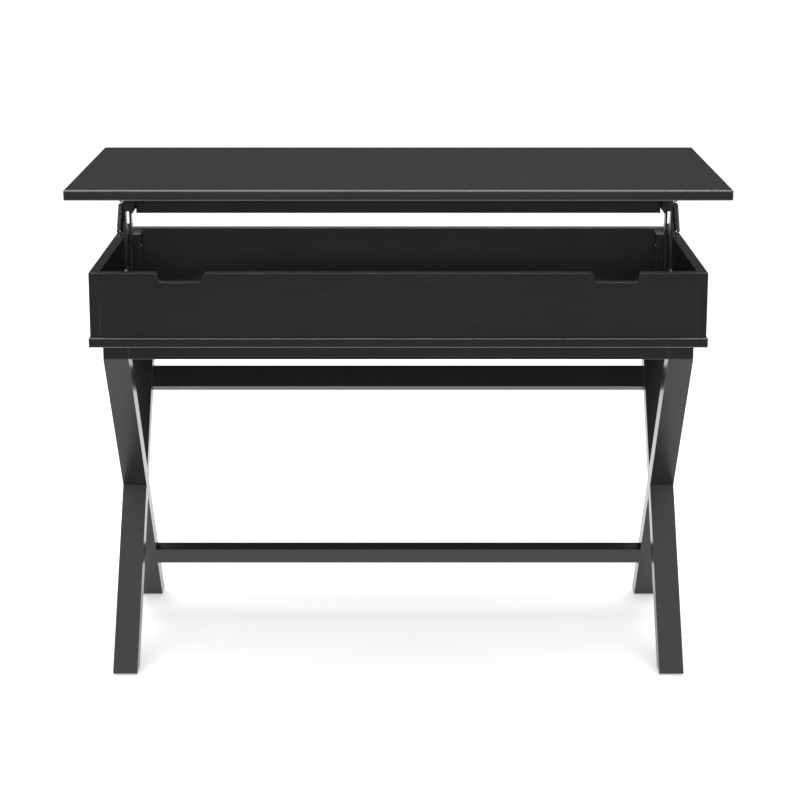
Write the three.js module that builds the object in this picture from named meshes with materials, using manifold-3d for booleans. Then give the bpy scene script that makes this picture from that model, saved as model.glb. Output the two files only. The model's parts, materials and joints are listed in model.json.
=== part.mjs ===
// A writing desk with a lift top: an open storage case on two X-shaped leg frames, whose flat top is
// raised and carried forward, always level, by a parallel-arm lift mechanism at each end.
// Millimetres, +Z up, the user sits on the -Y side. The top is modelled in its raised position.
import * as THREE from 'three';
import { mergeVertices } from 'three/addons/utils/BufferGeometryUtils.js';
import Module from 'manifold-3d';

const wasm = await Module();
wasm.setup();

// ---------------------------------------------------------------- driving dimensions
// While designing, Y = 0 is the front face of the case; the finished group is shifted once, at the end.
const GAP = 0.3; // between pieces that touch
const OVERRUN = 1; // how far a cutting tool passes the face that it cuts
const OVERLAP = 1; // how deep the two plates of a bracket run into each other
const MERGE_DISTANCE = 1e-4;
const PANEL = 18; // thickness of the case walls, the bottom board and the top
const SIDES = [['left', -1], ['right', 1]];

const TOP = { width: 1118, depth: 533, raisedUnderside: 919, closedClearance: 0.5, frontOverhang: 11 };
const CASE = { width: 1094, depth: 521, height: 117, rim: 762, backRecess: 35 };
const MOULDING = 3; // how far the bottom board stands out past the case at the front and sides
const NOTCH = { centre: 385, floorHalf: 39, mouthHalf: 47.5, depth: 17, round: 8 };
const BLOCK = { size: 22, belowRim: 8 };

const FRAME = { halfWidth: 527.5, member: 45, inset: 18, rear: 505, railHeight: 26, apron: 20 };
const LEG = { bottom: 4, cut: 43 }; // cut: width of the leg where its end is sawn level
const STRETCHER = { width: 45, thickness: 18, upperCorner: 502, lowerCorner: 129 };
const GLIDE = { radius: 10, height: 3.7 };
const BOLT = { radius: 3, reach: 30, endPlay: 1 };
const BOLT_HEAD = { radius: 7, rimHeight: 1.8, crownRadius: 5.3, height: 3 };

const ARM = { length: 157, lean: THREE.MathUtils.degToRad(4), halfWidth: 10, thickness: 3.5, plane: 493 };
const PIVOT = { y: 124, z: 719, spacing: 79, drop: 26 }; // front base pivot, and from it to the rear one
const PIN = { radius: 3.95, headRadius: 7, rimHeight: 1.3, crownRadius: 4.9, headHeight: 2.5 };
const PIN_TAIL = { radius: 6, height: 2 };
const PIN_HOLE = 4.05;
const PLATE = 3; // thickness of the steel brackets
const CLEAT = { thickness: 12, front: 100, back: 300, bottom: 855 };
const BATTEN = { front: 131, bottom: 847 };
const FLANGE = { base: 26, top: 24 };
const WEB = { edge: 12, chamfer: 7 }; // steel left around the holes of an upright plate
const LOBE = { shoulder: 24, toe: 8, drop: 12 }; // the top bracket's, about its rear pivot
const SPRING = { plane: 504.5, armRadius: 88, topY: 165, topZ: 866, radius: 6.5, wire: 1.2, hook: 10 };
const STUD = { radius: 3, baseRadius: 4.5, baseLength: 2, tip: 5 };
const STOP = { radius: 4, height: 25, proud: 1 };
const ROUND_SEGMENTS = 24;

// ---------------------------------------------------------------- places worked out from them
const caseFloor = CASE.rim - CASE.height;
const boardBottom = caseFloor - PANEL;
const railBottom = boardBottom - FRAME.railHeight;
const innerWall = CASE.width / 2 - PANEL;
const backInner = CASE.depth - CASE.backRecess - PANEL;
const legInner = FRAME.halfWidth - FRAME.member;
const legMiddle = FRAME.halfWidth - FRAME.member / 2;
const legTop = railBottom - GAP;

const armTip = [-ARM.length * Math.sin(ARM.lean), ARM.length * Math.cos(ARM.lean)];
const drop = TOP.raisedUnderside - CASE.rim - TOP.closedClearance;
const closedAngle = Math.acos(Math.cos(ARM.lean) - drop / ARM.length);
const travel = ARM.length * (Math.sin(closedAngle) + Math.sin(ARM.lean));
const topFront = -TOP.frontOverhang - travel;
const originY = (topFront + CASE.depth) / 2;

const basePivots = { front: [PIVOT.y, PIVOT.z], rear: [PIVOT.y + PIVOT.spacing, PIVOT.z - PIVOT.drop] };
const armInner = ARM.plane - ARM.thickness / 2;
const armOuter = ARM.plane + ARM.thickness / 2;
const plateOuter = armInner - GAP;
const plateInner = plateOuter - PLATE;
const cleatInner = plateInner - GAP - CLEAT.thickness;

// ---------------------------------------------------------------- finishes
const FINISHES = {
  lacquer: { color: 0x16161a, roughness: 0.28, metalness: 0 },
  blackSteel: { color: 0x1b1b1d, roughness: 0.45, metalness: 0.6 },
  zincSteel: { color: 0xa9abad, roughness: 0.32, metalness: 1 },
  springSteel: { color: 0x4a4a4e, roughness: 0.3, metalness: 1 },
  nylon: { color: 0x202022, roughness: 0.6, metalness: 0 },
};

const desk = new THREE.Group();

function addPiece(name, geometry, finish, place = [0, 0, 0]) {
  const mesh = new THREE.Mesh(geometry, new THREE.MeshStandardMaterial(FINISHES[finish]));
  mesh.name = name;
  mesh.position.set(...place);
  desk.add(mesh);
}

// A board with square edges, given by its lowest and highest corner.
function addBoard(name, low, high, finish = 'lacquer') {
  const size = high.map((value, axis) => value - low[axis]);
  const centre = high.map((value, axis) => (value + low[axis]) / 2);
  addPiece(name, new THREE.BoxGeometry(...size), finish, centre);
}

// The span along X of a layer that lies between two distances from the middle, on one side of the desk.
const layer = (side, near, far) => (side > 0 ? [near, far] : [-far, -near]);

// ---------------------------------------------------------------- shape helpers
const toSideView = new THREE.Matrix4().makeBasis(
  new THREE.Vector3(0, 1, 0), new THREE.Vector3(0, 0, 1), new THREE.Vector3(1, 0, 0));

// Extrudes an outline drawn in the side view (Y, Z) along X.
function sidePrism(shape, [xLow, xHigh]) {
  const options = { depth: xHigh - xLow, bevelEnabled: false, curveSegments: ROUND_SEGMENTS / 2 };
  return new THREE.ExtrudeGeometry(shape, options).applyMatrix4(toSideView).translate(xLow, 0, 0);
}

function polygon(points) {
  return new THREE.Shape(points.map(([y, z]) => new THREE.Vector2(y, z)));
}

function roundHole([y, z], radius) {
  return new THREE.Path().absarc(y, z, radius, 0, 2 * Math.PI, true);
}

// A turned piece along X: steps are [radius, x] pairs from one end to the other, counted outward.
function turned(side, steps) {
  const points = steps.map(([radius, x]) => new THREE.Vector2(radius, x));
  const profile = [new THREE.Vector2(0, steps[0][1]), ...points, new THREE.Vector2(0, steps.at(-1)[1])];
  return new THREE.LatheGeometry(profile, ROUND_SEGMENTS).rotateZ(-side * Math.PI / 2);
}

function toSolid(geometry) {
  const bare = geometry.clone();
  bare.deleteAttribute('normal');
  bare.deleteAttribute('uv');
  const merged = mergeVertices(bare, MERGE_DISTANCE);
  const triVerts = Uint32Array.from(merged.index.array);
  const vertProperties = Float32Array.from(merged.attributes.position.array);
  return new wasm.Manifold(new wasm.Mesh({ numProp: 3, vertProperties, triVerts }));
}

function toGeometry(solid) {
  const { vertProperties, triVerts } = solid.getMesh();
  const geometry = new THREE.BufferGeometry();
  geometry.setAttribute('position', new THREE.BufferAttribute(vertProperties, 3));
  geometry.setIndex(new THREE.BufferAttribute(triVerts, 1));
  geometry.computeVertexNormals();
  return geometry;
}

function cutAway(body, tools) {
  return toGeometry(tools.reduce((solid, tool) => solid.subtract(toSolid(tool)), toSolid(body)));
}

function join(first, second) {
  return toGeometry(toSolid(first).add(toSolid(second)));
}

// ---------------------------------------------------------------- storage case
function addCase() {
  const half = CASE.width / 2;
  const bottom = caseFloor + GAP;
  const wallEnd = innerWall - GAP;
  addPiece('case_front_panel', frontPanel(wallEnd, bottom), 'lacquer', [0, PANEL, 0]);
  addBoard('case_back_panel', [-wallEnd, backInner, bottom], [wallEnd, backInner + PANEL, CASE.rim]);
  addBoard('case_bottom_board', [-half - MOULDING, -MOULDING, boardBottom],
    [half + MOULDING, CASE.depth, caseFloor]);
  for (const [name, side] of SIDES) {
    const [low, high] = layer(side, innerWall, half);
    addBoard(`case_${name}_side`, [low, 0, bottom], [high, CASE.depth, CASE.rim]);
    addCornerBlock(`${name}_front_block`, side, PANEL + GAP, bottom);
    addCornerBlock(`${name}_rear_block`, side, backInner - GAP - BLOCK.size, bottom);
  }
}

function addCornerBlock(name, side, front, bottom) {
  const [low, high] = layer(side, innerWall - GAP - BLOCK.size, innerWall - GAP);
  addBoard(name, [low, front, bottom], [high, front + BLOCK.size, CASE.rim - BLOCK.belowRim]);
}

// The front panel's outline in X and Z, with a finger notch in its top edge near each end.
function frontPanel(half, bottom) {
  const shape = new THREE.Shape();
  shape.moveTo(-half, bottom);
  shape.lineTo(half, bottom);
  shape.lineTo(half, CASE.rim);
  for (const centre of [NOTCH.centre, -NOTCH.centre]) {
    notch(shape, centre);
  }
  shape.lineTo(-half, CASE.rim);
  shape.closePath();
  const options = { depth: PANEL, bevelEnabled: false, curveSegments: ROUND_SEGMENTS / 4 };
  return new THREE.ExtrudeGeometry(shape, options).rotateX(Math.PI / 2);
}

// One notch, drawn from right to left: a round shoulder, a round foot, the floor, and the same back up.
function notch(shape, centre) {
  const { mouthHalf, floorHalf, depth, round } = NOTCH;
  const low = CASE.rim - depth;
  for (const end of [1, -1]) {
    const mouth = [centre + end * mouthHalf, CASE.rim];
    const shoulder = [centre + end * (mouthHalf - round), CASE.rim];
    const waist = [centre + end * (mouthHalf + floorHalf - round) / 2, (CASE.rim + low) / 2];
    const foot = [centre + end * (mouthHalf - round), low];
    const floor = [centre + end * (floorHalf - round), low];
    if (end > 0) {
      shape.lineTo(...mouth);
      shape.quadraticCurveTo(...shoulder, ...waist);
      shape.quadraticCurveTo(...foot, ...floor);
    } else {
      shape.lineTo(...floor);
      shape.quadraticCurveTo(...foot, ...waist);
      shape.quadraticCurveTo(...shoulder, ...mouth);
    }
  }
}

// ---------------------------------------------------------------- under-frame and X legs
const legRun = FRAME.rear - LEG.cut - FRAME.inset;
const legRise = legTop - LEG.bottom;
const legLength = Math.hypot(legRun, legRise);
const slope = { run: legRun / legLength, rise: legRise / legLength };

// A leg's outline: "rising" goes from the front foot up to the rear rail, "falling" is its mirror.
// grow widens it on both long faces, and extends it past its ends, to make a cutting tool.
function legOutline(rising, grow = 0) {
  const spread = grow / slope.rise;
  const reach = grow > 0 ? LEG.cut : 0;
  const shift = reach * legRun / legRise;
  const low = LEG.bottom - reach;
  const high = legTop + reach;
  const points = [
    [FRAME.inset - shift - spread, low],
    [FRAME.inset + LEG.cut - shift + spread, low],
    [FRAME.rear + shift + spread, high],
    [FRAME.rear - LEG.cut + shift - spread, high],
  ];
  const mirrored = points.map(([y, z]) => [FRAME.inset + FRAME.rear - y, z]);
  return polygon(rising ? points : mirrored.reverse());
}

// Where the front-facing side of a leg is at a given height.
function legFrontFace(rising, z) {
  const climb = rising ? z - LEG.bottom : legTop - z;
  return FRAME.inset + legRun * climb / legRise;
}

// A stretcher's outline: a board laid along the leg's slope, flush with the leg's front-facing side.
// Its visible corner, on that side, is at the given height, and the board hangs down from there.
function stretcherOutline(rising, cornerZ) {
  const along = rising ? [-slope.run, -slope.rise] : [slope.run, -slope.rise];
  const inward = rising ? [slope.rise, -slope.run] : [slope.rise, slope.run];
  const corner = [legFrontFace(rising, cornerZ), cornerZ];
  const at = (a, b) => [corner[0] + along[0] * a + inward[0] * b, corner[1] + along[1] * a + inward[1] * b];
  const { width, thickness } = STRETCHER;
  const points = [at(0, 0), at(width, 0), at(width, thickness), at(0, thickness)];
  return { shape: polygon(points), middle: at(width / 2, thickness / 2) };
}

function addStretcher(name, { shape, middle }) {
  const end = legInner - GAP;
  const bores = SIDES.map(([, side]) => alongX(middle, layer(side, end - BOLT.reach, end + OVERRUN)));
  addPiece(name, cutAway(sidePrism(shape, [-end, end]), bores), 'lacquer');
}

// A drill along X through the given point of the side view.
function alongX([y, z], [xLow, xHigh]) {
  const radius = BOLT.radius + GAP;
  const drill = new THREE.CylinderGeometry(radius, radius, xHigh - xLow, ROUND_SEGMENTS);
  return drill.rotateZ(Math.PI / 2).translate((xLow + xHigh) / 2, y, z);
}

function addFrame() {
  const upper = stretcherOutline(true, STRETCHER.upperCorner);
  const lower = stretcherOutline(false, STRETCHER.lowerCorner);
  addStretcher('upper_stretcher', upper);
  addStretcher('lower_stretcher', lower);

  const apronEnd = legInner - GAP;
  const top = boardBottom - GAP;
  addBoard('front_apron', [-apronEnd, FRAME.inset, railBottom], [apronEnd, FRAME.inset + FRAME.apron, top]);
  addBoard('rear_apron', [-apronEnd, FRAME.rear - FRAME.apron, railBottom], [apronEnd, FRAME.rear, top]);

  for (const [name, side] of SIDES) {
    const [low, high] = layer(side, legInner, FRAME.halfWidth);
    addBoard(`${name}_side_rail`, [low, FRAME.inset, railBottom], [high, FRAME.rear, top]);
    addLegs(name, side, upper.middle, lower.middle);
    addBolt(`${name}_upper_stretcher_bolt`, side, upper.middle);
    addBolt(`${name}_lower_stretcher_bolt`, side, lower.middle);
  }
}

// The two legs of one side cross in a half lap: each loses half its thickness where the other passes.
function addLegs(name, side, upperBolt, lowerBolt) {
  const whole = layer(side, legInner, FRAME.halfWidth);
  const innerHalf = layer(side, legInner - OVERRUN, legMiddle + GAP / 2);
  const outerHalf = layer(side, legMiddle - GAP / 2, FRAME.halfWidth + OVERRUN);
  const past = layer(side, legInner - OVERRUN, FRAME.halfWidth + OVERRUN);
  const rising = cutAway(sidePrism(legOutline(true), whole),
    [sidePrism(legOutline(false, GAP), innerHalf), alongX(upperBolt, past)]);
  const falling = cutAway(sidePrism(legOutline(false), whole),
    [sidePrism(legOutline(true, GAP), outerHalf), alongX(lowerBolt, past)]);
  addPiece(`${name}_leg_rising`, rising, 'lacquer');
  addPiece(`${name}_leg_falling`, falling, 'lacquer');

  const footCentre = FRAME.inset + LEG.cut / 2;
  const feet = [['front', footCentre], ['rear', FRAME.inset + FRAME.rear - footCentre]];
  for (const [end, y] of feet) {
    const disc = new THREE.CylinderGeometry(GLIDE.radius, GLIDE.radius, GLIDE.height, ROUND_SEGMENTS);
    addPiece(`${name}_${end}_glide`, disc.rotateX(Math.PI / 2), 'nylon',
      [side * legMiddle, y, GLIDE.height / 2]);
  }
}

// A furniture bolt through the leg into the end of a stretcher, with its flat round head outside.
function addBolt(name, side, [y, z]) {
  const headSeat = FRAME.halfWidth + GAP;
  const tip = legInner - BOLT.reach + BOLT.endPlay;
  const bolt = turned(side, [
    [BOLT.radius, tip],
    [BOLT.radius, headSeat],
    [BOLT_HEAD.radius, headSeat],
    [BOLT_HEAD.radius, headSeat + BOLT_HEAD.rimHeight],
    [BOLT_HEAD.crownRadius, headSeat + BOLT_HEAD.height],
  ]);
  addPiece(name, bolt, 'blackSteel', [0, y, z]);
}

// ---------------------------------------------------------------- lift mechanism
const tipOf = ([y, z]) => [y + armTip[0], z + armTip[1]];
const alongArm = (from, distance) => [
  from[0] + armTip[0] * distance / ARM.length,
  from[1] + armTip[1] * distance / ARM.length,
];

// A flat bar with round ends and a pivot hole at each end, leaning with the raised mechanism.
function armShape(base) {
  const tip = tipOf(base);
  const shape = new THREE.Shape();
  shape.absarc(...base, ARM.halfWidth, Math.PI + ARM.lean, ARM.lean, false);
  shape.absarc(...tip, ARM.halfWidth, ARM.lean, Math.PI + ARM.lean, false);
  shape.closePath();
  shape.holes.push(roundHole(base, PIN_HOLE), roundHole(tip, PIN_HOLE));
  return shape;
}

// The base bracket's upright plate: it carries both lower pivots and, at its raised front, the stop pin.
function baseWebShape(stopAt) {
  const foot = caseFloor + GAP;
  const [frontY, frontZ] = basePivots.front;
  const [rearY, rearZ] = basePivots.rear;
  const [stopY, stopZ] = stopAt;
  const { edge, chamfer } = WEB;
  const points = [
    [stopY - edge, foot],
    [rearY + edge, foot],
    [rearY + edge, rearZ + edge - chamfer],
    [rearY + edge - chamfer, rearZ + edge],
    [frontY + edge, frontZ + edge],
    [stopY + chamfer, stopZ + chamfer],
    [stopY - edge + chamfer, stopZ + chamfer],
    [stopY - edge, stopZ],
  ];
  const shape = polygon(points);
  shape.holes.push(...Object.values(basePivots).map((pivot) => roundHole(pivot, PIN_HOLE)));
  return shape;
}

// The top bracket's upright plate: straight along the front, with a lobe that drops to the rear pivot.
function topWebShape() {
  const [rearY, rearZ] = tipOf(basePivots.rear);
  const high = TOP.raisedUnderside - GAP;
  const points = [
    [CLEAT.front, CLEAT.bottom],
    [rearY - LOBE.shoulder, CLEAT.bottom],
    [rearY - LOBE.toe, rearZ - LOBE.drop],
    [rearY + LOBE.toe, rearZ - LOBE.drop],
    [rearY + LOBE.shoulder, CLEAT.bottom],
    [CLEAT.back, CLEAT.bottom],
    [CLEAT.back, high],
    [CLEAT.front, high],
  ];
  const shape = polygon(points);
  shape.holes.push(...Object.values(basePivots).map((pivot) => roundHole(tipOf(pivot), PIN_HOLE)));
  return shape;
}

function box(low, high) {
  const size = high.map((value, axis) => value - low[axis]);
  const centre = high.map((value, axis) => (value + low[axis]) / 2);
  return new THREE.BoxGeometry(...size).translate(...centre);
}

function addBrackets(name, side, stopAt) {
  const web = layer(side, plateInner, plateOuter);
  const foot = caseFloor + GAP;
  const [baseLow, baseHigh] = layer(side, plateInner - FLANGE.base, plateInner + OVERLAP);
  const back = basePivots.rear[0] + WEB.edge;
  const baseFlange = box([baseLow, stopAt[0] - WEB.edge, foot], [baseHigh, back, foot + PLATE]);
  addPiece(`${name}_base_bracket`, join(sidePrism(baseWebShape(stopAt), web), baseFlange), 'blackSteel');

  const high = TOP.raisedUnderside - GAP;
  const [topLow, topHigh] = layer(side, plateOuter - OVERLAP, plateOuter + FLANGE.top);
  const topFlange = box([topLow, CLEAT.front, high - PLATE], [topHigh, CLEAT.back, high]);
  addPiece(`${name}_top_bracket`, join(sidePrism(topWebShape(), web), topFlange), 'blackSteel');
}

// Pins: the lower ones are riveted over behind the base bracket, the upper ones end flush in theirs.
function addPins(name, side) {
  const headSeat = armOuter + GAP;
  const head = [
    [PIN.radius, headSeat],
    [PIN.headRadius, headSeat],
    [PIN.headRadius, headSeat + PIN.rimHeight],
    [PIN.crownRadius, headSeat + PIN.headHeight],
  ];
  const tailSeat = plateInner - GAP;
  const tail = [
    [PIN_TAIL.radius, tailSeat - PIN_TAIL.height],
    [PIN_TAIL.radius, tailSeat],
    [PIN.radius, tailSeat],
  ];
  for (const [end, pivot] of Object.entries(basePivots)) {
    addPiece(`${name}_${end}_lower_pin`, turned(side, [...tail, ...head]), 'zincSteel', [0, ...pivot]);
    addPiece(`${name}_${end}_upper_pin`, turned(side, [[PIN.radius, plateInner], ...head]), 'zincSteel',
      [0, ...tipOf(pivot)]);
  }
}

// The spring hangs between a stud on the front arm and a stud on the top bracket, outside the arms.
function addSpring(name, side) {
  const armEnd = alongArm(basePivots.front, SPRING.armRadius);
  const topEnd = [SPRING.topY, SPRING.topZ];
  const studTip = SPRING.plane + STUD.tip;
  for (const [label, seat, place] of [['arm', armOuter + GAP, armEnd], ['top', plateOuter + GAP, topEnd]]) {
    const stud = turned(side, [
      [STUD.baseRadius, seat],
      [STUD.baseRadius, seat + STUD.baseLength],
      [STUD.radius, seat + STUD.baseLength],
      [STUD.radius, studTip],
    ]);
    addPiece(`${name}_spring_${label}_stud`, stud, 'blackSteel', [0, ...place]);
  }
  const run = [topEnd[0] - armEnd[0], topEnd[1] - armEnd[1]];
  const length = Math.hypot(...run);
  const clear = STUD.radius + GAP;
  const profile = [
    [0, clear], [SPRING.wire, clear],
    [SPRING.wire, SPRING.hook], [SPRING.radius, SPRING.hook],
    [SPRING.radius, length - SPRING.hook], [SPRING.wire, length - SPRING.hook],
    [SPRING.wire, length - clear], [0, length - clear],
  ].map(([radius, along]) => new THREE.Vector2(radius, along));
  const spring = new THREE.LatheGeometry(profile, ROUND_SEGMENTS).rotateX(Math.atan2(run[1], run[0]));
  addPiece(`${name}_spring`, spring, 'springSteel', [side * SPRING.plane, ...armEnd]);
}

function addMechanism() {
  const againstArm = alongArm(basePivots.front, STOP.height);
  const reach = (ARM.halfWidth + STOP.radius + GAP) / Math.cos(ARM.lean);
  const stopAt = [againstArm[0] - reach, againstArm[1]];
  for (const [name, side] of SIDES) {
    addBrackets(name, side, stopAt);
    const armLayer = layer(side, armInner, armOuter);
    for (const [end, pivot] of Object.entries(basePivots)) {
      addPiece(`${name}_${end}_arm`, sidePrism(armShape(pivot), armLayer), 'blackSteel');
    }
    addPins(name, side);
    addSpring(name, side);
    const stop = turned(side, [[STOP.radius, plateOuter + GAP], [STOP.radius, armOuter + STOP.proud]]);
    addPiece(`${name}_stop_pin`, stop, 'zincSteel', [0, ...stopAt]);
  }
}

// ---------------------------------------------------------------- lift top
function addTop() {
  const half = TOP.width / 2;
  const under = TOP.raisedUnderside;
  addBoard('lift_top_panel', [-half, topFront, under], [half, topFront + TOP.depth, under + PANEL]);
  const batten = cleatInner - GAP;
  addBoard('cross_batten', [-batten, BATTEN.front, BATTEN.bottom],
    [batten, BATTEN.front + PANEL, under - GAP]);
  for (const [name, side] of SIDES) {
    const [low, high] = layer(side, cleatInner, cleatInner + CLEAT.thickness);
    addBoard(`${name}_cleat`, [low, CLEAT.front, CLEAT.bottom], [high, CLEAT.back, under - GAP]);
  }
}

addCase();
addFrame();
addMechanism();
addTop();
desk.position.set(0, -originY, 0);

export default desk;
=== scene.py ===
"""Looks of the lift-top writing desk: lacquer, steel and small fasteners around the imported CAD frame."""
import json
import math

import bmesh
import bpy
from mathutils import Matrix, Vector


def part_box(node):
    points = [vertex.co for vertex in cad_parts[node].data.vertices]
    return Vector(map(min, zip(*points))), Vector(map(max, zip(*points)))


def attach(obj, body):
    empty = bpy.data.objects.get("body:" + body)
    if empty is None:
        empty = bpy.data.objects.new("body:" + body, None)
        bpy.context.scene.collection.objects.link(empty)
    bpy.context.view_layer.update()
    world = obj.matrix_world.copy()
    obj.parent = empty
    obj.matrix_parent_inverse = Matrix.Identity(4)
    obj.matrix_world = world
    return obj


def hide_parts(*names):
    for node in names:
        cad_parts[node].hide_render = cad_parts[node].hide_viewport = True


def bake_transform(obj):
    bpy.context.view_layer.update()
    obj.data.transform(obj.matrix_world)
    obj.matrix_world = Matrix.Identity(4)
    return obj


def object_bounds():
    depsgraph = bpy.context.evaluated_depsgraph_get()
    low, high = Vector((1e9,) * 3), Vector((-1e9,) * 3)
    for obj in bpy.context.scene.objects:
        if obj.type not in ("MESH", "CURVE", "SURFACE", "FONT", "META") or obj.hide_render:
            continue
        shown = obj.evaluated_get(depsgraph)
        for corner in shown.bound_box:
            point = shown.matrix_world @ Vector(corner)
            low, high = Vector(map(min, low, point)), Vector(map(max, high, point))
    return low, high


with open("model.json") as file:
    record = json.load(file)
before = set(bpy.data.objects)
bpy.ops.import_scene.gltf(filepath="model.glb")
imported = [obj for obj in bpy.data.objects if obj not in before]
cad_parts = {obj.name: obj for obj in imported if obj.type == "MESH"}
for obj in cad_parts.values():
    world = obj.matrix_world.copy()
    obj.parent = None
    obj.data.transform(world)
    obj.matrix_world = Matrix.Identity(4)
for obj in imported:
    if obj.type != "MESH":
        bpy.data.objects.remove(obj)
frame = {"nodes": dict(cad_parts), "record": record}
NODES = frame["nodes"]
BODY_OF = {name: body for body, names in frame["record"]["behaviour"]["bodies"].items() for name in names}
SLOT_OF = {part["node"]: part["material_slot"] for part in frame["record"]["subparts"]}
CAD_BOX = [list(corner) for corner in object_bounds()]

MM = 0.001
SIDES = (("left", -1), ("right", 1))
ENDS = ("front", "rear")


# ---------------------------------------------------------------- camera, floor and light
CAMERA_BACK = 3.610  # in front of the raised top's front edge
CAMERA_HEIGHT = 1.4964
CAMERA_PITCH = math.radians(12.83)
CAMERA_LENS = 98.44
CAMERA_SHIFT = (0.0021, -0.07)

FLOOR_RADIUS = 60.0
FLOOR_SIDES = 360
FLOOR_FRONT = -1.4  # the paper ends here, in front of the desk
FLOOR_GLOW = 0.45
PAPER_WHITE = (0.86, 0.86, 0.86, 1)
PAPER_ROUGHNESS = 0.9
SEEN_LEVEL = 1.0  # the surroundings as the camera sees them
SKY_STEPS = ((0.0, 0.05), (0.2, 0.07), (0.5, 0.35), (0.8, 0.60))  # what lights and reflects: height, level
SUN_ELEVATION = math.radians(75)
SUN_AZIMUTH = math.radians(-8)
SUN_SPREAD = math.radians(90)
SUN_ENERGY = 1.2
AREA_LIGHTS = (  # name, place, target, size, watts
    ("overhead_softbox", (0, -0.1, 3.6), (0, 0.05, 0), (3.4, 1.5), 90),
    ("front_fill", (0, -4.9, 1.75), (0, 0, 0.7), (3.2, 1.0), 140),
)


def make_camera():
    data = bpy.data.cameras.new("camera")
    data.lens = CAMERA_LENS
    data.shift_x, data.shift_y = CAMERA_SHIFT
    camera = bpy.data.objects.new("camera", data)
    camera.location = (0, CAD_BOX[0][1] - CAMERA_BACK, CAMERA_HEIGHT)
    camera.rotation_euler = (math.pi / 2 - CAMERA_PITCH, 0, 0)
    bpy.context.scene.collection.objects.link(camera)
    bpy.context.scene.camera = camera


def make_light(name, place, target, size, energy):
    data = bpy.data.lights.new(name, "AREA")
    data.shape = "RECTANGLE"
    data.size, data.size_y = size
    data.energy = energy
    light = bpy.data.objects.new(name, data)
    light.location = place
    light.rotation_euler = (Vector(target) - Vector(place)).to_track_quat("-Z", "Y").to_euler()
    bpy.context.scene.collection.objects.link(light)


def make_sun(name, elevation, azimuth, spread, energy):
    data = bpy.data.lights.new(name, "SUN")
    data.angle = spread
    data.energy = energy
    sun = bpy.data.objects.new(name, data)
    sun.rotation_euler = (math.pi / 2 - elevation, 0, azimuth)
    bpy.context.scene.collection.objects.link(sun)


def make_floor():
    """White paper that glows a little. It is seen only from above, so that the underside can be looked at."""
    bm = bmesh.new()
    bmesh.ops.create_circle(bm, cap_ends=True, radius=FLOOR_RADIUS, segments=FLOOR_SIDES,
                            matrix=Matrix.Translation((0, FLOOR_FRONT + FLOOR_RADIUS, 0)))
    floor = new_object("floor", bm)
    material, shader = new_material("floor_paper")
    shader.inputs["Base Color"].default_value = PAPER_WHITE
    shader.inputs["Roughness"].default_value = PAPER_ROUGHNESS
    shader.inputs["Emission Color"].default_value = (1, 1, 1, 1)
    shader.inputs["Emission Strength"].default_value = FLOOR_GLOW
    tree = material.node_tree
    underside = node(tree, "ShaderNodeNewGeometry").outputs["Backfacing"]
    one_sided = node(tree, "ShaderNodeMixShader", Fac=underside)
    tree.links.new(shader.outputs[0], one_sided.inputs[1])
    tree.links.new(node(tree, "ShaderNodeBsdfTransparent").outputs[0], one_sided.inputs[2])
    tree.links.new(one_sided.outputs[0], tree.nodes["Material Output"].inputs["Surface"])
    floor.data.materials.append(material)


def make_surroundings():
    """White where the camera sees past the floor; for light and reflections, dim near the horizon."""
    world = bpy.data.worlds.new("studio")
    bpy.context.scene.world = world
    world.use_nodes = True
    tree = world.node_tree
    tree.nodes.clear()
    direction = node(tree, "ShaderNodeTexCoord").outputs["Generated"]
    height = node(tree, "ShaderNodeSeparateXYZ", Vector=direction).outputs["Z"]
    sky = node(tree, "ShaderNodeValToRGB", Fac=height)
    while len(sky.color_ramp.elements) < len(SKY_STEPS):
        sky.color_ramp.elements.new(0.5)
    for element, (at, level) in zip(sky.color_ramp.elements, SKY_STEPS):
        element.position = at
        element.color = (level, level, level, 1)
    seen = node(tree, "ShaderNodeBackground", Color=(1, 1, 1, 1), Strength=SEEN_LEVEL)
    around = node(tree, "ShaderNodeBackground", Color=sky.outputs["Color"], Strength=1.0)
    path = node(tree, "ShaderNodeLightPath")
    mix = node(tree, "ShaderNodeMixShader", Fac=path.outputs["Is Camera Ray"])
    tree.links.new(around.outputs[0], mix.inputs[1])
    tree.links.new(seen.outputs[0], mix.inputs[2])
    out = node(tree, "ShaderNodeOutputWorld")
    tree.links.new(mix.outputs[0], out.inputs["Surface"])


def make_studio():
    bpy.context.scene.view_settings.view_transform = "Standard"
    make_floor()
    make_surroundings()
    make_sun("broad_sun", SUN_ELEVATION, SUN_AZIMUTH, SUN_SPREAD, SUN_ENERGY)
    for name, place, target, size, energy in AREA_LIGHTS:
        make_light(name, place, target, size, energy)


# ---------------------------------------------------------------- mesh and node helpers
def new_object(name, bm):
    mesh = bpy.data.meshes.new(name)
    bm.to_mesh(mesh)
    bm.free()
    obj = bpy.data.objects.new(name, mesh)
    bpy.context.scene.collection.objects.link(obj)
    return obj


def node(tree, kind, **inputs):
    """A new shader or geometry node, with its inputs set or linked by name."""
    made = tree.nodes.new(kind)
    for name, value in inputs.items():
        socket = made.inputs[name.replace("_", " ")]
        if isinstance(value, bpy.types.NodeSocket):
            tree.links.new(value, socket)
        else:
            socket.default_value = value
    return made


def new_material(name):
    material = bpy.data.materials.new(name)
    material.use_nodes = True
    return material, material.node_tree.nodes["Principled BSDF"]


SHARP_ANGLE = math.radians(32)
MERGE_DISTANCE = 1e-5
FLAT_ANGLE = math.radians(0.5)


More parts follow.
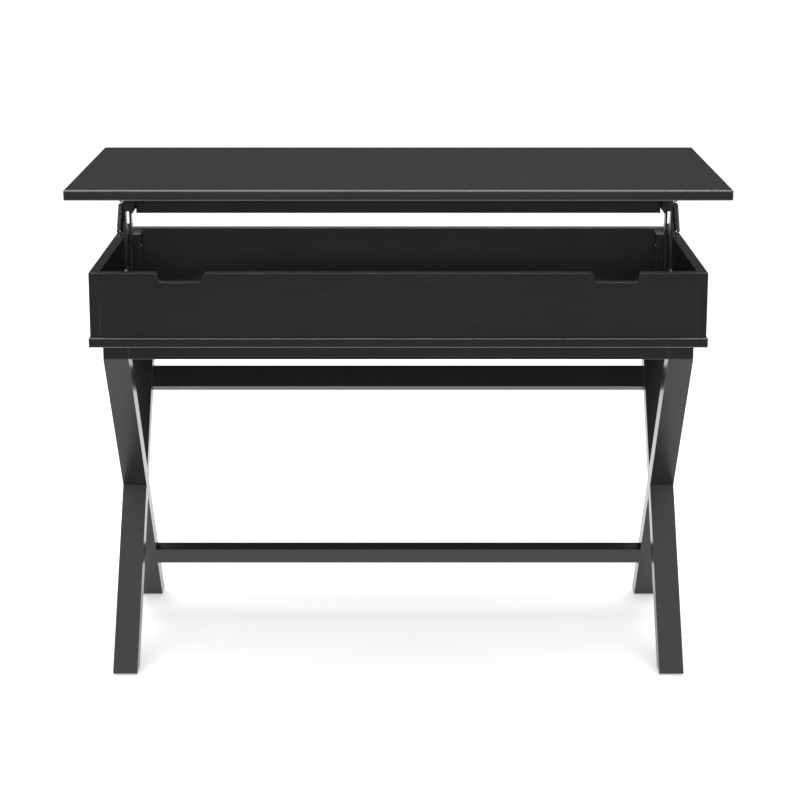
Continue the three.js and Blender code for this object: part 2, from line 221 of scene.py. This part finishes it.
def smooth_by_angle():
    """A geometry group that smooths the surface and keeps edges above SHARP_ANGLE sharp."""
    tree = bpy.data.node_groups.new("smooth_by_angle", "GeometryNodeTree")
    tree.interface.new_socket("Geometry", in_out="INPUT", socket_type="NodeSocketGeometry")
    tree.interface.new_socket("Geometry", in_out="OUTPUT", socket_type="NodeSocketGeometry")
    source = tree.nodes.new("NodeGroupInput")
    smooth = node(tree, "GeometryNodeSetShadeSmooth", Geometry=source.outputs[0])
    angle = node(tree, "GeometryNodeInputMeshEdgeAngle")
    sharp = tree.nodes.new("FunctionNodeCompare")
    sharp.data_type, sharp.operation = "FLOAT", "GREATER_THAN"
    tree.links.new(angle.outputs["Unsigned Angle"], sharp.inputs[0])
    sharp.inputs[1].default_value = SHARP_ANGLE
    normal = node(tree, "GeometryNodeSetMeshNormal", Mesh=smooth.outputs[0],
                  Remove_Custom=True, Edge_Sharpness=sharp.outputs[0])
    result = tree.nodes.new("NodeGroupOutput")
    tree.links.new(normal.outputs[0], result.inputs[0])
    return tree


SMOOTH = smooth_by_angle()


def ease(obj, width, segments=3, weld=True):
    """Rounds an object's sharp edges by width. The rounded faces take the second material."""
    if weld:
        obj.modifiers.new("weld", "WELD").merge_threshold = MERGE_DISTANCE
        flat = obj.modifiers.new("flat", "DECIMATE")
        flat.decimate_type = "DISSOLVE"
        flat.angle_limit = FLAT_ANGLE
    bevel = obj.modifiers.new("ease", "BEVEL")
    bevel.width = width
    bevel.segments = segments
    bevel.limit_method = "ANGLE"
    bevel.angle_limit = SHARP_ANGLE
    bevel.material = len(obj.data.materials) - 1
    bevel.loop_slide = False
    shade(obj)


def shade(obj):
    obj.modifiers.new("smooth", "NODES").node_group = SMOOTH
    weighted = obj.modifiers.new("weighted", "WEIGHTED_NORMAL")
    weighted.keep_sharp = True


def dress(obj, *materials):
    obj.data.materials.clear()
    for material in materials:
        obj.data.materials.append(material)


# ---------------------------------------------------------------- materials
def ramp(tree, fac, low, high, low_at=0.0, high_at=1.0):
    """A value or colour that goes from low to high as fac goes from low_at to high_at."""
    made = node(tree, "ShaderNodeValToRGB", Fac=fac)
    for element, at, value in zip(made.color_ramp.elements, (low_at, high_at), (low, high)):
        element.position = at
        element.color = (value, value, value, 1) if isinstance(value, float) else (*value, 1)
    return made.outputs["Color"]


def noise(tree, vector, scale, detail=3.0, roughness=0.5):
    made = node(tree, "ShaderNodeTexNoise", Vector=vector, Scale=scale, Detail=detail, Roughness=roughness)
    return made.outputs["Fac"]


def average(tree, first, second):
    """The mean of two values: first * 0.5 + second * 0.5."""
    half = node(tree, "ShaderNodeMath")
    half.operation = "MULTIPLY"
    tree.links.new(second, half.inputs[0])
    half.inputs[1].default_value = 0.5
    total = node(tree, "ShaderNodeMath")
    total.operation = "MULTIPLY_ADD"
    tree.links.new(first, total.inputs[0])
    total.inputs[1].default_value = 0.5
    tree.links.new(half.outputs[0], total.inputs[2])
    return total.outputs[0]


def bump(tree, height, strength, distance, normal=None):
    made = node(tree, "ShaderNodeBump", Height=height, Strength=strength, Distance=distance)
    if normal is not None:
        tree.links.new(normal, made.inputs["Normal"])
    return made.outputs["Normal"]


def along_grain(tree, turn, stretch):
    """Object coordinates turned so that the grain runs along X, and then squeezed along it."""
    place = node(tree, "ShaderNodeTexCoord").outputs["Object"]
    turned = node(tree, "ShaderNodeMapping", Vector=place, Rotation=turn)
    return node(tree, "ShaderNodeMapping", Vector=turned.outputs[0], Scale=(stretch, 1, 1)).outputs[0]


GRAIN_STRETCH = 0.045
LACQUER_DARK = (0.0125, 0.0125, 0.0131)
LACQUER_LIGHT = (0.0158, 0.0158, 0.0165)
# Lighter colours for the rounded edges: partly rubbed wear, partly a painted highlight that brightens the
# edge lines.
EDGE_DARK = (0.018, 0.018, 0.019)
EDGE_LIGHT = (0.034, 0.033, 0.033)
LACQUER_ROUGHNESS = (0.20, 0.29)
EDGE_ROUGHNESS = (0.22, 0.36)
LACQUER_SPECULAR = 0.42
EDGE_COAT_ROUGHNESS = 0.12


def lacquer(name, turn, edge_wear_and_highlight):
    """Black lacquer over wood: orange peel, faint grain, wiped smears. The last argument picks the
    rounded-edge version, whose lighter colour is partly rubbed wear and partly a painted highlight along the
    edges.
    """
    material, shader = new_material(name)
    tree = material.node_tree
    place = node(tree, "ShaderNodeTexCoord").outputs["Object"]
    grain_space = along_grain(tree, turn, GRAIN_STRETCH)
    grain = noise(tree, grain_space, scale=330, detail=6, roughness=0.65)
    smear = noise(tree, grain_space, scale=14, detail=4, roughness=0.6)
    cloud = noise(tree, place, scale=5.5, detail=3, roughness=0.5)
    peel = noise(tree, place, scale=420, detail=2, roughness=0.45)

    # The rounded edges take the lighter colours: partly rubbed wear, partly a painted highlight.
    dark, light = (EDGE_DARK, EDGE_LIGHT) if edge_wear_and_highlight else (LACQUER_DARK, LACQUER_LIGHT)
    colour = node(tree, "ShaderNodeMix")
    colour.data_type = "RGBA"
    colour.blend_type = "MIX"
    tree.links.new(ramp(tree, grain, 0.0, 1.0, low_at=0.35, high_at=0.7), colour.inputs[0])
    colour.inputs[6].default_value = (*dark, 1)
    colour.inputs[7].default_value = (*light, 1)
    tree.links.new(colour.outputs[2], shader.inputs["Base Color"])

    low, high = EDGE_ROUGHNESS if edge_wear_and_highlight else LACQUER_ROUGHNESS
    wear = average(tree, smear, cloud)
    tree.links.new(ramp(tree, wear, low, high, low_at=0.15, high_at=0.85), shader.inputs["Roughness"])

    normal = bump(tree, grain, strength=0.05, distance=0.00035)
    normal = bump(tree, peel, strength=0.04, distance=0.0006, normal=normal)
    tree.links.new(normal, shader.inputs["Normal"])
    shader.inputs["Specular IOR Level"].default_value = LACQUER_SPECULAR
    if edge_wear_and_highlight:
        shader.inputs["Coat Weight"].default_value = 1.0
        shader.inputs["Coat Roughness"].default_value = EDGE_COAT_ROUGHNESS
    return material


def painted_steel(name):
    """Black powder coat over pressed steel: a fine pebble and rubbed, slightly browned patches."""
    material, shader = new_material(name)
    tree = material.node_tree
    place = node(tree, "ShaderNodeTexCoord").outputs["Object"]
    pebble = noise(tree, place, scale=1500, detail=2, roughness=0.5)
    patch = noise(tree, place, scale=38, detail=4, roughness=0.6)
    colour = ramp(tree, patch, (0.011, 0.011, 0.012), (0.026, 0.025, 0.024), low_at=0.4, high_at=0.75)
    tree.links.new(colour, shader.inputs["Base Color"])
    tree.links.new(ramp(tree, patch, 0.24, 0.40, low_at=0.3, high_at=0.7), shader.inputs["Roughness"])
    tree.links.new(bump(tree, pebble, strength=0.18, distance=0.0002), shader.inputs["Normal"])
    return material


DRAWN_STRETCH = 0.03  # of the drawn lines on plated steel


def plated_steel(name, dark, light, rough_low, rough_high, turn):
    """Bare or plated steel with fine drawn lines and cloudy tarnish."""
    material, shader = new_material(name)
    tree = material.node_tree
    place = node(tree, "ShaderNodeTexCoord").outputs["Object"]
    drawn = noise(tree, along_grain(tree, turn, DRAWN_STRETCH), scale=2400, detail=3, roughness=0.5)
    cloud = noise(tree, place, scale=120, detail=4, roughness=0.6)
    tree.links.new(ramp(tree, cloud, dark, light, low_at=0.35, high_at=0.7), shader.inputs["Base Color"])
    roughness = ramp(tree, cloud, rough_high, rough_low, low_at=0.3, high_at=0.7)
    tree.links.new(roughness, shader.inputs["Roughness"])
    tree.links.new(bump(tree, drawn, strength=0.15, distance=0.0001), shader.inputs["Normal"])
    shader.inputs["Metallic"].default_value = 1.0
    return material


def moulded_nylon(name):
    """Black nylon with the fine texture of its mould."""
    material, shader = new_material(name)
    tree = material.node_tree
    place = node(tree, "ShaderNodeTexCoord").outputs["Object"]
    grit = noise(tree, place, scale=1800, detail=3, roughness=0.6)
    scuff = noise(tree, place, scale=160, detail=3, roughness=0.5)
    colour = ramp(tree, scuff, (0.016, 0.016, 0.017), (0.05, 0.05, 0.05), low_at=0.45, high_at=0.8)
    tree.links.new(colour, shader.inputs["Base Color"])
    tree.links.new(ramp(tree, scuff, 0.5, 0.7), shader.inputs["Roughness"])
    tree.links.new(bump(tree, grit, strength=0.3, distance=0.0002), shader.inputs["Normal"])
    return material


LEG_CUT = 43 * MM  # width of a leg's level cut, from front to back


def leg_slope():
    """The angle of a leg from the floor, from its box less the level cut at its ends."""
    low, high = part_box("left_leg_rising")
    return math.atan2(high.z - low.z, high.y - low.y - LEG_CUT)


QUARTER = math.pi / 2
GRAINS = {
    "x": (0, 0, 0),
    "y": (0, 0, -QUARTER),
    "z": (0, QUARTER, 0),
    "rising": (-leg_slope(), 0, -QUARTER),
    "falling": (leg_slope(), 0, -QUARTER),
}
LACQUERS = {
    grain: (lacquer(f"lacquer_{grain}", turn, False), lacquer(f"lacquer_edge_{grain}", turn, True))
    for grain, turn in GRAINS.items()
}
STEEL = painted_steel("black_powder_coat")
ZINC = plated_steel("zinc_plate", (0.42, 0.42, 0.43), (0.62, 0.62, 0.63), 0.22, 0.40, (0, 0, 0))
SPRING_STEEL = plated_steel("spring_steel", (0.13, 0.13, 0.135), (0.24, 0.24, 0.245), 0.20, 0.34, (0, 0, 0))
NYLON = moulded_nylon("nylon_glide")
METAL_OF = {"zinc_steel": ZINC, "black_steel": STEEL, "nylon": NYLON, "spring_steel": SPRING_STEEL}


# ---------------------------------------------------------------- wood: CAD boards with eased edges
EASE = {
    "lift_top_panel": ("x", 2.2), "cross_batten": ("x", 1.2),
    "case_front_panel": ("x", 0.7), "case_back_panel": ("x", 1.0), "case_bottom_board": ("x", 2.0),
    "front_apron": ("x", 1.0), "rear_apron": ("x", 1.0),
    "upper_stretcher": ("x", 1.4), "lower_stretcher": ("x", 1.4),
    "case_left_side": ("y", 0.8), "case_right_side": ("y", 0.8),
    "left_side_rail": ("y", 1.0), "right_side_rail": ("y", 1.0),
    "left_cleat": ("y", 0.8), "right_cleat": ("y", 0.8),
    "left_front_block": ("z", 1.0), "left_rear_block": ("z", 1.0),
    "right_front_block": ("z", 1.0), "right_rear_block": ("z", 1.0),
    "left_leg_rising": ("rising", 1.5), "left_leg_falling": ("falling", 1.5),
    "right_leg_rising": ("rising", 1.5), "right_leg_falling": ("falling", 1.5),
}


def finish_wood():
    for name, (grain, width) in EASE.items():
        dress(NODES[name], *LACQUERS[grain])
        ease(NODES[name], width * MM)


# ---------------------------------------------------------------- steel: CAD plates with eased edges
PLATE_EASE = 0.5 * MM
PLATE_EASE_SEGMENTS = 2


def finish_plates():
    for side, _ in SIDES:
        for part in ("base_bracket", "top_bracket", "front_arm", "rear_arm"):
            plate = NODES[f"{side}_{part}"]
            dress(plate, STEEL)
            ease(plate, PLATE_EASE, PLATE_EASE_SEGMENTS)


# ---------------------------------------------------------------- turned pieces and screws
ROUND_SIDES = 48
RIVET_HEIGHT = 2.5
BOLT_HEAD_HEIGHT = 3.0
PIN_RADIUS = 3.95
PIN_LEAD = 0.3  # the small chamfer that starts an upper pin
BOLT_RADIUS = 3
BOLT_LEAD = 0.5
PLATE = 3 * MM


def hexagon(angle):
    """How far a hexagon reaches in a direction, as a part of its corners' radius."""
    return math.cos(math.pi / 6) / math.cos(angle % (math.pi / 3) - math.pi / 6)


def cross(angle):
    """The same for a four-armed driver recess."""
    return 0.4 + 0.6 * abs(math.cos(2 * angle)) ** 4


def circle(_angle):
    return 1.0


# Profiles are (radius, distance from the inner end), in mm. A third value gives a shape that isn't round.
RIVET_HEAD = ((7.0, 0.0), (7.0, 0.9), (6.6, 1.6), (5.2, 2.3), (3.0, 2.5), (2.2, 2.25), (0, 2.2))
RIVET_TAIL = ((0, 0), (3.2, 0.1), (5.2, 0.5), (6.0, 1.3), (6.0, 2.0), (3.95, 2.0))
SOCKET_HEAD = ((7.0, 0.0), (7.0, 1.3), (6.5, 2.1), (5.3, 2.8), (4.4, 3.0), (3.3, 3.0, hexagon),
               (3.1, 1.3, hexagon), (0, 1.1))
STUD_FOOT = ((0, 0), (4.5, 0), (4.5, 1.6), (4.1, 2.0), (3.0, 2.0))
STUD_TIP = ((2.8, -6.4), (2.8, -3.6), (3.0, -3.3), (4.0, -3.2), (4.0, -1.2), (3.4, -0.4), (2.6, 0.0),
            (0, 0.0))
STOP_PIN = ((0, 0), (4.0, 0), (4.0, 3.9), (3.5, 4.5), (0, 4.5))
GLIDE = ((0, 1.2), (2.4, 1.2), (2.8, 0.0), (8.6, 0.0), (9.6, 0.5), (10.0, 1.4), (10.0, 3.0), (9.5, 3.7),
         (0, 3.7))
SCREW_HEAD = ((0, 0), (4.0, 0), (4.0, 0.7), (3.8, 1.2), (3.2, 1.8), (2.5, 2.15), (2.1, 2.2),
              (1.95, 2.2, cross), (1.5, 1.0, cross), (0, 0.8))


def moved(profile, distance):
    return tuple((step[0], step[1] + distance, *step[2:]) for step in profile)


def lathe(bm, profile, frame_at):
    """Turns a profile about the Z axis of a placing matrix."""
    rings = []
    for radius, height, *shape in profile:
        outline = shape[0] if shape else circle
        sides = ROUND_SIDES if radius else 1
        ring = []
        for step in range(sides):
            angle = 2 * math.pi * step / sides
            reach = radius * outline(angle) * MM
            point = Vector((reach * math.cos(angle), reach * math.sin(angle), height * MM))
            ring.append(bm.verts.new(frame_at @ point))
        rings.append(ring)
    for low, high in zip(rings, rings[1:]):
        for step in range(ROUND_SIDES):
            after = (step + 1) % ROUND_SIDES
            corners = (low[step % len(low)], low[after % len(low)],
                       high[after % len(high)], high[step % len(high)])
            bm.faces.new(list(dict.fromkeys(corners)))


def aimed(place, direction):
    """A matrix at a place, with its Z axis along a direction."""
    return Matrix.Translation(place) @ Vector(direction).to_track_quat("Z", "Y").to_matrix().to_4x4()


def turn_node(name, profile, direction=None):
    """Stands a smooth turned piece in for a faceted CAD node, starting at the node's inner end."""
    low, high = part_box(name)
    centre = (low + high) / 2
    side = math.copysign(1, centre.x)
    start = Vector((min(abs(low.x), abs(high.x)) * side, centre.y, centre.z))
    if direction:
        start = Vector((centre.x, centre.y, low.z))
    bm = bmesh.new()
    lathe(bm, profile, aimed(start, direction or (side, 0, 0)))
    piece = new_object(f"turned_{name}", bm)
    dress(piece, METAL_OF[SLOT_OF[name]])
    shade(piece)
    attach(piece, BODY_OF[name])
    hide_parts(name)


def node_length(name):
    low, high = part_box(name)
    return (high.x - low.x) / MM


def make_turned_pieces():
    for side, _ in SIDES:
        for end in ENDS:
            lower, upper = f"{side}_{end}_lower_pin", f"{side}_{end}_upper_pin"
            lower_seat = node_length(lower) - RIVET_HEIGHT
            upper_seat = node_length(upper) - RIVET_HEIGHT
            turn_node(lower, (*RIVET_TAIL, (PIN_RADIUS, lower_seat), *moved(RIVET_HEAD, lower_seat)))
            turn_node(upper, ((0, 0), (PIN_RADIUS - PIN_LEAD, 0), (PIN_RADIUS, PIN_LEAD),
                              (PIN_RADIUS, upper_seat), *moved(RIVET_HEAD, upper_seat)))
            turn_node(f"{side}_{end}_glide", GLIDE, (0, 0, 1))
        for level in ("upper", "lower"):
            bolt = f"{side}_{level}_stretcher_bolt"
            seat = node_length(bolt) - BOLT_HEAD_HEIGHT
            turn_node(bolt, ((0, 0), (BOLT_RADIUS - BOLT_LEAD, 0), (BOLT_RADIUS, BOLT_LEAD),
                             (BOLT_RADIUS, seat), *moved(SOCKET_HEAD, seat)))
        for stud in (f"{side}_spring_arm_stud", f"{side}_spring_top_stud"):
            turn_node(stud, (*STUD_FOOT, *moved(STUD_TIP, node_length(stud))))
        turn_node(f"{side}_stop_pin", STOP_PIN)


def make_screws(name, places, direction, node_name, material):
    """A set of pan-head screws in one piece, standing on a surface of a CAD node."""
    bm = bmesh.new()
    for place in places:
        lathe(bm, SCREW_HEAD, aimed(place, direction))
    piece = new_object(name, bm)
    dress(piece, material)
    shade(piece)
    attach(piece, BODY_OF[node_name])


def spread(low, high, count, margin):
    """Evenly spaced values from low to high, the first and last one margin inside."""
    step = (high - low - 2 * margin) / (count - 1)
    return [low + margin + step * index for index in range(count)]


FLANGE_INSET = 11 * MM  # from a bracket's edge to the row of screws in its flange
FLANGE_MARGIN = 14 * MM  # from the end of a row to its first screw
WEB_INSET = 24 * MM
WEB_MARGIN = 22 * MM
WEB_DROP = 12 * MM  # below the top bracket's flange
BLOCK_MARGIN = 26 * MM
RAIL_MARGIN = 130 * MM


def make_bracket_screws():
    for side, sign in SIDES:
        base = f"{side}_base_bracket"
        low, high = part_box(base)
        x = sign * (min(abs(low.x), abs(high.x)) + FLANGE_INSET)
        places = [(x, y, low.z + PLATE) for y in spread(low.y, high.y, 3, FLANGE_MARGIN)]
        make_screws(f"{base}_screws", places, (0, 0, 1), base, ZINC)

        top = f"{side}_top_bracket"
        low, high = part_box(top)
        outer = max(abs(low.x), abs(high.x))
        x = sign * (outer - FLANGE_INSET)
        places = [(x, y, high.z - PLATE) for y in spread(low.y, high.y, 4, FLANGE_MARGIN)]
        make_screws(f"{top}_flange_screws", places, (0, 0, -1), top, ZINC)
        x = sign * (outer - WEB_INSET)
        places = [(x, y, high.z - WEB_DROP) for y in spread(low.y, high.y, 3, WEB_MARGIN)]
        make_screws(f"{top}_web_screws", places, (sign, 0, 0), top, ZINC)


def make_wood_screws():
    for side, sign in SIDES:
        for end in ENDS:
            block = f"{side}_{end}_block"
            low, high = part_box(block)
            x = sign * min(abs(low.x), abs(high.x))
            places = [(x, (low.y + high.y) / 2, z) for z in spread(low.z, high.z, 2, BLOCK_MARGIN)]
            make_screws(f"{block}_screws", places, (-sign, 0, 0), block, STEEL)
        rail = f"{side}_side_rail"
        low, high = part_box(rail)
        places = [((low.x + high.x) / 2, y, low.z) for y in spread(low.y, high.y, 3, RAIL_MARGIN)]
        make_screws(f"{rail}_screws", places, (0, 0, -1), rail, STEEL)


# ---------------------------------------------------------------- close-wound springs
COIL_RADIUS = 5.3  # to the middle of the wire, in mm
WIRE_RADIUS = 1.2
WIRE_SIDES = 10
COIL_START = 9.5  # from the stud's axis
STUD_RADIUS = 3.0
BEND_RADIUS = 2.0
HOOK_DEGREES = range(400, 89, -15)  # from the free end round the stud to the bend
BEND_DEGREES = (0, 22.5, 45, 67.5)  # the coil's first point stands for 90
TURN_POINTS = 20


def hook_and_bend():
    """From the hook's free end, round the stud and up to the first turn: (across, out, along) in mm."""
    loop_centre = COIL_RADIUS - WIRE_RADIUS - STUD_RADIUS
    hook = [(0, COIL_RADIUS * math.sin(angle), loop_centre + COIL_RADIUS * math.cos(angle))
            for angle in (math.radians(degrees) for degrees in HOOK_DEGREES)]
    bend = [(-BEND_RADIUS * (1 - math.cos(angle)), COIL_RADIUS,
             COIL_START - BEND_RADIUS * (1 - math.sin(angle)))
            for angle in (math.radians(degrees) for degrees in BEND_DEGREES)]
    return hook + bend


def spring_path(length):
    """The wire's middle line between two studs that are length mm apart."""
    body = length - 2 * COIL_START
    turns = int(body / (2 * WIRE_RADIUS))
    lead = math.asin(BEND_RADIUS / COIL_RADIUS)
    sweep = 2 * math.pi * turns - 2 * lead
    count = turns * TURN_POINTS
    coil = []
    for index in range(count + 1):
        angle = lead + sweep * index / count
        along = COIL_START + body * angle / (2 * math.pi * turns)
        coil.append((-COIL_RADIUS * math.sin(angle), COIL_RADIUS * math.cos(angle), along))
    first = hook_and_bend()
    last = [(-across, out, length - along) for across, out, along in reversed(first)]
    return first + coil + last


def tube(bm, path, radius, sides):
    """Sweeps a round wire along a path, without letting it twist."""
    count = len(path)
    rings = []
    across = Vector((1, 0, 0))
    for index, point in enumerate(path):
        heading = (path[min(index + 1, count - 1)] - path[max(index - 1, 0)]).normalized()
        across = (across - heading * across.dot(heading)).normalized()
        other = heading.cross(across)
        ring = []
        for step in range(sides):
            angle = 2 * math.pi * step / sides
            ring.append(bm.verts.new(point + (across * math.cos(angle) + other * math.sin(angle)) * radius))
        rings.append(ring)
    for low, high in zip(rings, rings[1:]):
        for step in range(sides):
            after = (step + 1) % sides
            bm.faces.new((low[step], low[after], high[after], high[step]))
    bm.faces.new(reversed(rings[0]))
    bm.faces.new(rings[-1])


def make_springs():
    for side, _ in SIDES:
        name = f"{side}_spring"
        low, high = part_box(name)
        start, end = (sum(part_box(f"{side}_spring_{stud}_stud"), Vector()) / 2 for stud in ("arm", "top"))
        start.x = end.x = (low.x + high.x) / 2
        along = (end - start).normalized()
        across = Vector((1, 0, 0))
        out = along.cross(across)
        steps = spring_path((end - start).length / MM)
        path = [start + (across * a + out * b + along * c) * MM for a, b, c in steps]
        bm = bmesh.new()
        tube(bm, path, WIRE_RADIUS * MM, WIRE_SIDES)
        bmesh.ops.recalc_face_normals(bm, faces=bm.faces)
        piece = new_object(f"coiled_{name}", bm)
        dress(piece, SPRING_STEEL)
        shade(piece)
        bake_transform(piece)
        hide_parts(name)


make_camera()
make_studio()
finish_wood()
finish_plates()
make_turned_pieces()
make_bracket_screws()
make_wood_screws()
make_springs()
